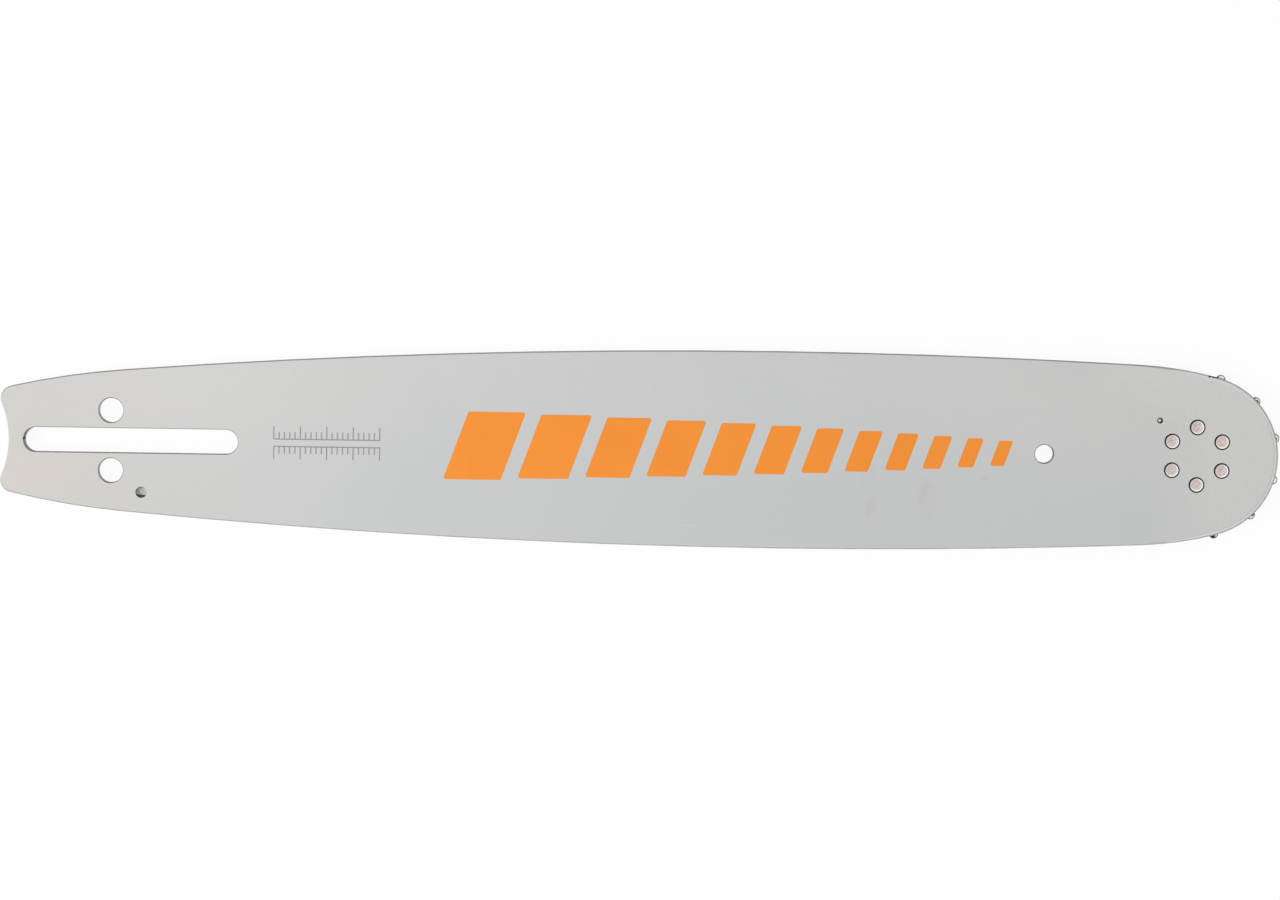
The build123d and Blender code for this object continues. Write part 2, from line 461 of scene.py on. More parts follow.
@dataclass(frozen=True)
class PaintCoat:
    """Colour of the light grey paint: its drift along the bar, partly painted light, a painted shade on its lower
    side, blotches, rubs and hairline scratches.
    """

    # Tones along the bar: the warm tail is the paint's own tint; the lighter middle and the lighter nose tip are
    # painted light, standing for light that falls off along the bar.
    tail_tone: Colour = srgb(202, 197, 193)
    stud_tone: Colour = srgb(205, 204, 203)
    nose_tone: Colour = srgb(202, 203, 202)
    tip_tone: Colour = srgb(209, 208, 206)
    # Darker, cooler tone that the blotches and the speckle mix in, and the painted shade too
    blotch_and_shade_tone: Colour = srgb(195, 198, 197)
    rub_tone: Colour = srgb(189, 185, 182)
    scratch_tone: Colour = srgb(216, 216, 214)
    tail_slant: float = 1.2
    tail_span: Span = Span(-0.053, 0.062)
    stud_span: Span = Span(0.06, 0.14)
    tip_span: Span = Span(0.25, 0.37)
    # Painted shade: the face's lower side mixes towards the darker tone, growing from the stud slot towards the
    # nose and fading at the tip
    shade_across: Span = Span(-0.03, 0.03, 0.8, 0.0)
    shade_rise: Span = Span(-0.05, 0.11)
    shade_fall: Span = Span(0.35, 0.38, 1.0, 0.2)
    blotches: Pattern = Pattern(16.0, 3.0)
    blotch_share: Span = Span(0.42, 0.75, 0.0, 0.4)
    speckle: Pattern = Pattern(850.0, 2.0)
    speckle_share: Span = Span(0.35, 0.8, 0.0, 0.3)
    rub_breaks: Pattern = Pattern(120.0, 3.0)
    rub_break_share: Span = Span(0.28, 0.62)
    rub_fade: Span = Span(0.0, 1.0, 1.0, 0.0)
    rub_share: float = 0.45
    scratch_lines: Pattern = Pattern(1.0, 0.0, (9.0, 1500.0, 1.0), math.radians(4))
    scratch_line_share: Span = Span(0.72, 0.8)
    scratch_places: Pattern = Pattern(45.0, 1.0)
    scratch_place_share: Span = Span(0.6, 0.72)
    scratch_share: float = 0.35
    rubs: tuple[Mark, ...] = (
        Mark(x=0.2566, y=-0.0134, half_length=0.0034, half_height=0.0140),
        Mark(x=0.2766, y=-0.0159, half_length=0.0042, half_height=0.0085),
        Mark(x=0.2966, y=-0.0086, half_length=0.0020, half_height=0.0012),
    )

    def colour(self, point: PlatePoint) -> Socket:
        """Mixes the paint's colour.

        Args:
            point: The point of the plate.

        Returns:
            The colour.
        """
        bench, x, y = point.bench, point.x, point.y
        # Drift along the bar: the paint's warm tint at the tail, and painted light that makes the middle and the
        # nose tip lighter.
        drift = bench.math("MULTIPLY_ADD", y, self.tail_slant, x)
        tone = bench.mix(bench.ramp(drift, self.tail_span), self.tail_tone, self.stud_tone)
        tone = bench.mix(bench.ramp(x, self.stud_span), tone, self.nose_tone)
        tone = bench.mix(bench.ramp(x, self.tip_span), tone, self.tip_tone)
        blotched = bench.ramp(bench.noise(point.place, self.blotches), self.blotch_share)
        tone = bench.mix(blotched, tone, self.blotch_and_shade_tone)
        # Painted shade, darker towards the lower flank
        shade = bench.product(
            bench.ramp(y, self.shade_across),
            bench.ramp(x, self.shade_rise),
            bench.ramp(x, self.shade_fall),
        )
        tone = bench.mix(shade, tone, self.blotch_and_shade_tone)
        speckled = bench.ramp(bench.noise(point.place, self.speckle), self.speckle_share)
        tone = bench.mix(speckled, tone, self.blotch_and_shade_tone)
        breaks = bench.ramp(bench.noise(point.place, self.rub_breaks), self.rub_break_share)
        for rub in self.rubs:
            oval = bench.ramp(rub.spread(bench, x, y), self.rub_fade)
            tone = bench.mix(bench.product(oval, breaks, self.rub_share), tone, self.rub_tone)
        scratched = bench.product(
            bench.ramp(bench.noise(point.place, self.scratch_lines), self.scratch_line_share),
            bench.ramp(bench.noise(point.place, self.scratch_places), self.scratch_place_share),
            self.scratch_share,
        )
        return bench.mix(scratched, tone, self.scratch_tone)


@dataclass(frozen=True)
class EdgeSteel:
    """Worn steel of a side plate past its paint: broken edges, rivet seats, the nose's bevel and groove, with
    painted shade on rims that face across the bar, round the holes, in the countersinks and along the bevel's
    inner edge.
    """

    rail_tone: Colour = srgb(118, 117, 115)
    flank_tone: Colour = srgb(157, 156, 154)
    rim_tone: Colour = srgb(166, 165, 163)
    # Painted shade: broken edges that face across the bar take this darker tone
    side_rim_shade_tone: Colour = srgb(140, 139, 137)
    # Painted shade on the hole rims; the sprocket's tone of this name also colours stains
    grime_and_shade_tone: Colour = srgb(72, 70, 68)
    break_tone: Colour = srgb(179, 178, 177)
    bevel_tone: Colour = srgb(221, 220, 217)
    # Painted shade along the inner edge of the nose's bevel
    lip_shade_tone: Colour = srgb(199, 197, 195)
    # Painted shade in the countersinks round the rivets
    seat_shade_tone: Colour = srgb(62, 57, 53)
    groove_tone: Colour = srgb(112, 110, 106)
    inner_tone: Colour = srgb(168, 167, 164)
    rim_shade_turn: Span = Span(0.25, 0.6)
    flank_slope: Span = Span(0.72, 0.755)
    break_slope: Span = Span(0.8, 0.9)
    bevel_slope: Span = Span(0.94, 0.985)
    lip_shade_across: Span = Span(0.006, 0.020, 1.0, 0.1)
    lip_depth: float = 0.00005
    seat_reach: float = 0.0195
    outer_depth: float = 0.0012
    worn_metal: float = 0.3
    grain: Pattern = Pattern(1.0, 3.0, (90.0, 2600.0, 2600.0))
    grain_share: Span = Span(0.3, 0.8)
    bevel_share: Span = Span(0.0, 1.0, 0.35, 0.05)
    # Painted shade: darker rims round the hang hole and along the tension holes' upper and lower edges
    shaded_rims: tuple[Mark, ...] = (
        Mark(x=0.31820, y=0.00220, half_length=0.0040, half_height=0.0046),
        Mark(x=0.31680, y=-0.00340, half_length=0.0018, half_height=0.0018),
        Mark(x=-0.00799, y=0.01470, half_length=0.0015, half_height=0.0015),
        Mark(x=-0.00836, y=0.00632, half_length=0.0015, half_height=0.0015),
        Mark(x=-0.00836, y=-0.00632, half_length=0.0015, half_height=0.0015),
        Mark(x=-0.00799, y=-0.01470, half_length=0.0015, half_height=0.0015),
    )

    def colour(self, point: PlatePoint, grain: Socket, bevel: Socket) -> Socket:
        """Mixes the steel's colour.

        Args:
            point: The point of the plate.
            grain: The steel's grain.
            bevel: 1 on the shallow bevel round the nose and 0 elsewhere.

        Returns:
            The colour.
        """
        bench = point.bench
        # Painted shade: broken edges facing across the bar are darker than those facing along it
        rim_shading_side = bench.ramp(bench.facing(Axis.ACROSS), self.rim_shade_turn)
        tone = bench.mix(rim_shading_side, self.rim_tone, self.side_rim_shade_tone)
        # Painted shade on the hole rims of the upper plate
        for mark in self.shaded_rims:
            oval = bench.ramp(mark.spread(bench, point.x, point.y), SPOT_FADE)
            tone = bench.mix(bench.product(oval, point.upper), tone, self.grime_and_shade_tone)
        tone = bench.mix(bench.ramp(point.facing, self.flank_slope), tone, self.flank_tone)
        tone = bench.mix(bench.ramp(point.facing, SLOPED), self.rail_tone, tone)
        tone = bench.mix(bench.ramp(point.facing, self.break_slope), tone, self.break_tone)
        # Painted shade: the countersinks round the rivets are dark
        along = bench.math("SUBTRACT", point.x, point.bar.nose.x)
        seat_shade = bench.below(bench.length(along, point.y), self.seat_reach)
        tone = bench.mix(seat_shade, tone, self.seat_shade_tone)
        tone = bench.mix(bevel, tone, self.bevel_tone)
        # Painted shade: a darker line along the inner edge of the nose's bevel, fading out towards the upper flank
        lip_shade = bench.product(
            point.within(self.lip_depth),
            bench.below(point.facing, FLAT_PAINT),
            bench.ramp(point.y, self.lip_shade_across),
            bevel,
        )
        tone = bench.mix(lip_shade, tone, self.lip_shade_tone)
        inner = bench.mix(point.flat, self.groove_tone, self.inner_tone)
        tone = bench.mix(point.within(self.outer_depth), inner, tone)
        dulled = bench.product(bench.ramp(grain, self.grain_share), bench.ramp(bevel, self.bevel_share))
        return bench.mix(dulled, tone, self.groove_tone)

    def metal(self, point: PlatePoint, bevel: Socket) -> Socket:
        """Gives how metallic the steel looks: fully on walls, less where worn, not on the bevel.

        Args:
            point: The point of the plate.
            bevel: 1 on the shallow bevel round the nose and 0 elsewhere.

        Returns:
            The share of metal.
        """
        bench = point.bench
        worn = bench.product(bench.ramp(point.facing, SLOPED), point.within(self.outer_depth))
        scaled = bench.math("MAXIMUM", worn, point.flat)
        return bench.product(bench.between(scaled, 1.0, self.worn_metal), bench.inverse(bevel))


@dataclass(frozen=True)
class SatinPaint:
    """Finish of the side plates: satin paint on their outer faces, with worn steel where it ends."""

    coat: PaintCoat = PaintCoat()
    steel: EdgeSteel = EdgeSteel()
    nick_tone: Colour = srgb(38, 35, 32)
    burr_tone: Colour = srgb(214, 211, 207)
    skin: float = 0.000005
    chips: Pattern = Pattern(1100.0, 3.0)
    chip_share: Span = Span(0.3, 0.7, 0.45, 1.0)
    chip_edge: Span = Span(0.18, 0.3, 1.0, 0.0)
    chip_reach: float = 0.0004
    cloud: Pattern = Pattern(60.0, 3.0)
    paint_roughness: Span = Span(0.3, 0.7, 0.44, 0.52)
    steel_roughness: Span = Span(0.3, 0.7, 0.30, 0.46)
    peel: Pattern = Pattern(650.0, 1.0)
    peel_depth: float = 0.000004
    mark_fade: Span = Span(0.7, 1.3, 1.0, 0.0)
    mark_turn: float = math.radians(-10)
    nicks: tuple[Mark, ...] = (
        Mark(x=0.37521, y=0.02760, half_length=0.00190, half_height=0.00036, turn=mark_turn),
        Mark(x=0.37384, y=0.02764, half_length=0.00018, half_height=0.00042),
        Mark(x=-0.03724, y=0.00032, half_length=0.00015, half_height=0.00030),
    )
    burr: Mark = Mark(x=0.37445, y=0.02737, half_length=0.00040, half_height=0.00020, turn=mark_turn)

    def material(self, bar: BarFrame) -> bpy.types.Material:
        """Makes the material of a side plate.

        Args:
            bar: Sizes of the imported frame.

        Returns:
            The material.
        """
        bench = Bench(Slot.PAINT.value)
        point = PlatePoint(bench, bar)
        chip_noise = bench.ramp(bench.noise(point.place, self.chips), self.chip_share)
        chipped = bench.product(bench.edge_nearness(self.chip_reach), chip_noise)
        kept = bench.ramp(chipped, self.chip_edge)
        painted = bench.product(point.within(self.skin), point.flat, kept)

        grain = bench.noise(point.place, self.steel.grain)
        bevel = bench.ramp(point.facing, self.steel.bevel_slope)
        colour = bench.mix(painted, self.steel.colour(point, grain, bevel), self.coat.colour(point))
        marks = [(nick, self.nick_tone) for nick in self.nicks] + [(self.burr, self.burr_tone)]
        for mark, tone in marks:
            oval = bench.ramp(mark.spread(bench, point.x, point.y), self.mark_fade)
            colour = bench.mix(bench.product(oval, point.upper), colour, tone)

        paint_gloss = bench.ramp(bench.noise(point.place, self.cloud), self.paint_roughness)
        steel_gloss = bench.ramp(grain, self.steel_roughness)
        relief = bench.between(painted, grain, bench.noise(point.place, self.peel))
        return bench.dress(
            Base_Color=colour,
            Metallic=bench.product(bench.inverse(painted), self.steel.metal(point, bevel)),
            Roughness=bench.between(painted, steel_gloss, paint_gloss),
            Normal=bench.bump(relief, self.peel_depth),
            Specular_IOR_Level=SATIN_SPECULAR,
        )


@dataclass(frozen=True)
class CoreSteel:
    """Dull rolled steel of the core, dark with oil where the chain runs past it."""

    tone: Colour = srgb(211, 212, 211)
    oil_tone: Colour = srgb(120, 115, 108)
    edge_tone: Colour = srgb(134, 132, 128)
    # Painted shade at the core's tail end
    ledge_shade_tone: Colour = srgb(192, 191, 188)
    spot_tone: Colour = srgb(112, 110, 107)
    ledge_shade_span: Span = Span(-0.034, -0.028, 1.0, 0.0)
    scaled_metal: float = 0.3
    oil: Pattern = Pattern(55.0, 4.0)
    oil_share: Span = Span(0.5, 0.72, 0.0, 0.8)
    oil_roughness: float = 0.3
    streaks: Pattern = Pattern(1.0, 3.0, (900.0, 900.0, 120.0))
    streak_share: Span = Span(0.3, 0.75, 0.0, 0.3)
    streak_depth: float = 0.00002
    roughness: Span = Span(0.3, 0.7, 0.42, 0.6)
    spot: Mark = Mark(x=-0.03700, y=0.00034, half_length=0.00042, half_height=0.00055)

    def material(self) -> bpy.types.Material:
        """Makes the material of the core plate."""
        bench = Bench(Slot.CORE.value)
        place = bench.place()
        x, y, _ = bench.axes(place)
        streaks = bench.noise(place, self.streaks)
        oiled = bench.ramp(bench.noise(place, self.oil), self.oil_share)
        flat = bench.above(bench.facing(), FLAT_STEEL)
        # Painted shade: the core is a little darker towards its tail end, under the end of the stud slot
        ledge_shade = bench.ramp(x, self.ledge_shade_span)
        rolled = bench.mix(flat, self.edge_tone, bench.mix(ledge_shade, self.tone, self.ledge_shade_tone))
        spotted = bench.ramp(self.spot.spread(bench, x, y), SPOT_FADE)
        rolled = bench.mix(spotted, rolled, self.spot_tone)
        worn = bench.mix(bench.ramp(streaks, self.streak_share), rolled, self.oil_tone)
        return bench.dress(
            Base_Color=bench.mix(oiled, worn, self.oil_tone),
            Metallic=bench.between(flat, 1.0, self.scaled_metal),
            Roughness=bench.between(oiled, bench.ramp(streaks, self.roughness), self.oil_roughness),
            Normal=bench.bump(streaks, self.streak_depth),
        )


@dataclass(frozen=True)
class RivetSteel:
    """Rivet heads ground flush: pinkish silver and finely mottled, with painted light and shade: brightest on the
    nose side of each head, darker on its far side.
    """

    face_tone: Colour = srgb(219, 208, 205)
    # Tone of the mottle and the grinding, and of the painted shade on each head's far side
    stain_and_shade_tone: Colour = srgb(176, 162, 157)
    # Bright rim of each head: partly the ground rim's own tone, partly painted highlight
    rim_tone: Colour = srgb(250, 246, 243)
    # Painted shade: dark ring round each head, lighter on its lit side
    ring_shade_tone: Colour = srgb(36, 32, 29)
    lit_ring: Colour = srgb(78, 73, 69)
    count: int = 6
    # Painted light and shade on each head take this side as the lit one, towards the nose and the lower flank
    lit_side: float = math.radians(-38)
    side_span: Span = Span(-0.7, 0.7)
    shaded_face_edge: Span = Span(-0.9, 0.3, 0.86, 1.0)
    rim_span: Span = Span(0.66, 0.84)
    rim_wander: float = 0.16
    wander: Pattern = Pattern(420.0, 1.0)
    mottle: Pattern = Pattern(1500.0, 4.0)
    mottle_share: Span = Span(0.35, 0.7, 0.0, 0.7)
    grind: Pattern = Pattern(1.0, 2.0, (380.0, 3200.0, 1.0), math.radians(-40))
    grind_share: Span = Span(0.52, 0.7, 0.0, 0.45)
    grind_depth: float = 0.000006
    shaded_face_side: Span = Span(0.0, 1.0, 0.35, 0.0)
    rim_shading_side: Span = Span(0.0, 1.0, 0.25, 1.0)
    rim_mottle: Span = Span(0.2, 0.5, 0.6, 1.0)
    roughness: Span = Span(0.3, 0.7, 0.3, 0.42)

    def head_place(self, bench: Bench, place: Socket, bar: BarFrame) -> tuple[Socket, Socket]:
        """Gives each point's place on the head of its own rivet.

        The rivets stand evenly round the nose axis, the first of them half a step from +X.

        Args:
            bench: The material that the rivets have.
            place: Each point's place.
            bar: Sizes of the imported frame.

        Returns:
            The place along and across the bar, as shares of the head's radius.
        """
        x, y, _ = bench.axes(place)
        along = bench.math("SUBTRACT", x, bar.nose.x)
        across = bench.math("SUBTRACT", y, bar.nose.y)
        step = 2 * math.pi / self.count
        angle = bench.math("ARCTAN2", across, along)
        turned = bench.math("SUBTRACT", bench.math("WRAP", angle, step, 0.0), step / 2)
        own = bench.math("SUBTRACT", angle, turned)
        right = bench.math("MULTIPLY_ADD", bench.math("COSINE", own), -bar.rivet_circle, along)
        up = bench.math("MULTIPLY_ADD", bench.math("SINE", own), -bar.rivet_circle, across)
        return bench.math("DIVIDE", right, bar.rivet_head), bench.math("DIVIDE", up, bar.rivet_head)

    def material(self, bar: BarFrame) -> bpy.types.Material:
        """Makes the material of the rivets.

        Args:
            bar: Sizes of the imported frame.

        Returns:
            The material.
        """
        bench = Bench(Slot.RIVET.value)
        place = bench.place()
        right, up = self.head_place(bench, place, bar)
        radius = bench.length(right, up)
        # Painted light and shade: how far each point lies towards the lit side of its head
        lit_up = bench.product(up, math.sin(self.lit_side))
        lit = bench.math("MULTIPLY_ADD", right, math.cos(self.lit_side), lit_up)
        side = bench.ramp(lit, self.side_span)
        # Painted shade: on the far side the dark ring reaches further in onto the face
        inside = bench.below(radius, bench.ramp(lit, self.shaded_face_edge))
        head = bench.product(bench.above(bench.facing(), FLAT_STEEL), inside)

        mottle = bench.noise(place, self.mottle)
        grind = bench.noise(place, self.grind)
        face = bench.mix(bench.ramp(mottle, self.mottle_share), self.face_tone, self.stain_and_shade_tone)
        face = bench.mix(bench.ramp(grind, self.grind_share), face, self.stain_and_shade_tone)
        # Painted shade: the face darkens towards its far side
        face = bench.mix(bench.ramp(side, self.shaded_face_side), face, self.stain_and_shade_tone)
        wander = bench.noise(place, self.wander)
        wander = bench.math("MULTIPLY_ADD", wander, self.rim_wander, -self.rim_wander / 2)
        # Painted highlight: a bright rim inside the ring, strongest on the lit side; the dimmer rim on the far
        # side is the ground rim's own tone
        rim = bench.product(
            bench.ramp(bench.math("ADD", radius, wander), self.rim_span),
            bench.ramp(side, self.rim_shading_side),
            bench.ramp(mottle, self.rim_mottle),
        )
        face = bench.mix(rim, face, self.rim_tone)
        return bench.dress(
            # Painted shade: a dark ring round each head, lighter on its lit side
            Base_Color=bench.mix(head, bench.mix(side, self.ring_shade_tone, self.lit_ring), face),
            Metallic=1.0,
            Roughness=bench.ramp(grind, self.roughness),
            Normal=bench.bump(bench.math("ADD", mottle, grind), self.grind_depth),
        )


@dataclass(frozen=True)
class SprocketSteel:
    """Hardened steel of the nose wheel: dark streaked walls, bright tips, stains, and painted shade in the
    crevices by the plates and at the tooth bases.
    """

    tone: Colour = srgb(150, 147, 143)
    tip_tone: Colour = srgb(242, 236, 232)
    wall_tone: Colour = srgb(84, 80, 76)
    break_tone: Colour = srgb(100, 96, 92)
    # Dark tone of the stains and of the painted shade
    grime_and_shade_tone: Colour = srgb(48, 44, 40)
    tip_span: Span = Span(0.91, 0.96)
    break_metal: float = 0.35
    outline_reach: float = 0.0004
    outline_share: Span = Span(0.08, 0.22)
    stains: Pattern = Pattern(380.0, 3.0)
    stain_share: Span = Span(0.45, 0.75, 0.0, 0.35)
    # Painted shade in the crevices next to the plates
    crevice_shade_reach: float = 0.0005
    crevice_shade_share: Span = Span(0.22, 0.42)
    streaks: Pattern = Pattern(1.0, 2.0, (1600.0, 1600.0, 90.0))
    streak_depth: float = 0.00002
    roughness: Span = Span(0.3, 0.7, 0.3, 0.45)
    # Painted shade spots at the bases of the teeth, along the plates' edge
    shade_spots: tuple[Mark, ...] = (
        Mark(x=0.37643, y=0.02754, half_length=0.00085, half_height=0.00040, turn=math.radians(-13)),
        Mark(x=0.37930, y=0.02661, half_length=0.00042, half_height=0.00032, turn=math.radians(-19)),
        Mark(x=0.38981, y=0.02027, half_length=0.00048, half_height=0.00030, turn=math.radians(-44)),
        Mark(x=0.39080, y=0.01935, half_length=0.00070, half_height=0.00036, turn=math.radians(-47)),
        Mark(x=0.39123, y=0.01852, half_length=0.00050, half_height=0.00030, turn=math.radians(-49)),
        Mark(x=0.39766, y=0.00636, half_length=0.00045, half_height=0.00032, turn=math.radians(-77)),
        Mark(x=0.39009, y=-0.02016, half_length=0.00080, half_height=0.00034, turn=math.radians(45)),
        Mark(x=0.38862, y=-0.02146, half_length=0.00045, half_height=0.00030, turn=math.radians(41)),
        Mark(x=0.37642, y=-0.02790, half_length=0.00085, half_height=0.00060, turn=math.radians(13)),
    )

    def material(self, bar: BarFrame) -> bpy.types.Material:
        """Makes the material of the nose wheel.

        Args:
            bar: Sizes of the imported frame.

        Returns:
            The material.
        """
        bench = Bench(Slot.SPROCKET.value)
        place = bench.place()
        x, y, z = bench.axes(place)
        along = bench.math("SUBTRACT", x, bar.nose.x)
        reach = bench.math("DIVIDE", bench.length(along, y), bar.tooth_tip)
        facing = bench.facing()
        flat = bench.above(facing, FLAT_STEEL)
        sloped = bench.math("SUBTRACT", bench.ramp(facing, SLOPED), flat)
        face = bench.mix(bench.ramp(reach, self.tip_span), self.tone, self.tip_tone)
        worn = bench.mix(sloped, bench.mix(flat, self.wall_tone, face), self.break_tone)
        outline = bench.ramp(bench.edge_nearness(self.outline_reach), self.outline_share)
        worn = bench.mix(outline, worn, self.break_tone)

        stained = bench.ramp(bench.noise(place, self.stains), self.stain_share)
        # Painted shade: darker in the crevices by the plates and in spots at the tooth bases, mixed with the real
        # stains
        crevice_shade = bench.ramp(bench.crevice(self.crevice_shade_reach), self.crevice_shade_share)
        stain_and_shade = bench.math("MAXIMUM", stained, crevice_shade)
        upper = bench.above(z, bar.middle)
        for spot in self.shade_spots:
            oval = bench.ramp(spot.spread(bench, x, y), SPOT_FADE)
            stain_and_shade = bench.math("MAXIMUM", stain_and_shade, bench.product(oval, upper))
        streaks = bench.noise(place, self.streaks)
        return bench.dress(
            Base_Color=bench.mix(stain_and_shade, worn, self.grime_and_shade_tone),
            Metallic=bench.between(sloped, 1.0, self.break_metal),
            Roughness=bench.ramp(streaks, self.roughness),
            Normal=bench.bump(streaks, self.streak_depth),
        )


@dataclass(frozen=True)
class BearingSteel:
    """Ground steel of the race and the rollers under a film of grease, darker in the crevices between them: partly
    packed grease, partly painted shade.
    """

    tone: Colour = srgb(196, 196, 196)
    grease_tone: Colour = srgb(150, 140, 122)
    # Dark tone in the crevices: packed grease and painted shade
    caked_grease_and_shade_tone: Colour = srgb(58, 51, 44)
    caked_grease_and_shade_reach: float = 0.0011
    caked_grease_and_shade_share: Span = Span(0.28, 0.55)
    grease: Pattern = Pattern(420.0, 3.0)
    grease_share: Span = Span(0.48, 0.72, 0.0, 0.7)
    grease_roughness: float = 0.34
    scuffs: Pattern = Pattern(1.0, 2.0, (1800.0, 1800.0, 400.0))
    scuff_depth: float = 0.000003
    roughness: Span = Span(0.3, 0.7, 0.16, 0.28)

    def material(self) -> bpy.types.Material:
        """Makes the material of the race and the rollers."""
        bench = Bench(Slot.BEARING.value)
        place = bench.place()
        scuffs = bench.noise(place, self.scuffs)
        greased = bench.ramp(bench.noise(place, self.grease), self.grease_share)
        # Darker in the crevices between the rollers and the race: partly packed grease, partly painted shade
        crevice_shade = bench.ramp(bench.crevice(self.caked_grease_and_shade_reach), self.caked_grease_and_shade_share)
        film = bench.mix(greased, self.tone, self.grease_tone)
        return bench.dress(
            Base_Color=bench.mix(crevice_shade, film, self.caked_grease_and_shade_tone),
            Metallic=1.0,
            Roughness=bench.between(greased, bench.ramp(scuffs, self.roughness), self.grease_roughness),
            Normal=bench.bump(scuffs, self.scuff_depth),
        )


@dataclass(frozen=True)
class PrintInk:
    """Screen-printed ink, slightly grainy, with pinholes where the screen's mesh left them."""

    ink: Ink
    tone: Colour
    thin_tone: Colour
    cloud: Pattern = Pattern(70.0, 3.0)
    cloud_share: Span = Span(0.35, 0.75, 0.0, 0.45)
    grain: Pattern = Pattern(1400.0, 2.0)
    pinhole_share: Span = Span(0.62, 0.78, 0.0, 0.5)
    grain_depth: float = 0.000004
    roughness: Span = Span(0.3, 0.7, 0.42, 0.56)

    def material(self) -> bpy.types.Material:
        """Makes the material of one ink."""
        bench = Bench(self.ink.value)
        place = bench.place()
        grain = bench.noise(place, self.grain)
        clouded = bench.ramp(bench.noise(place, self.cloud), self.cloud_share)
        tone = bench.mix(clouded, self.tone, self.thin_tone)
        tone = bench.mix(bench.ramp(grain, self.pinhole_share), tone, self.thin_tone)
        return bench.dress(
            Base_Color=tone,
            Roughness=bench.ramp(grain, self.roughness),
            Normal=bench.bump(grain, self.grain_depth),
            Specular_IOR_Level=SATIN_SPECULAR,
        )


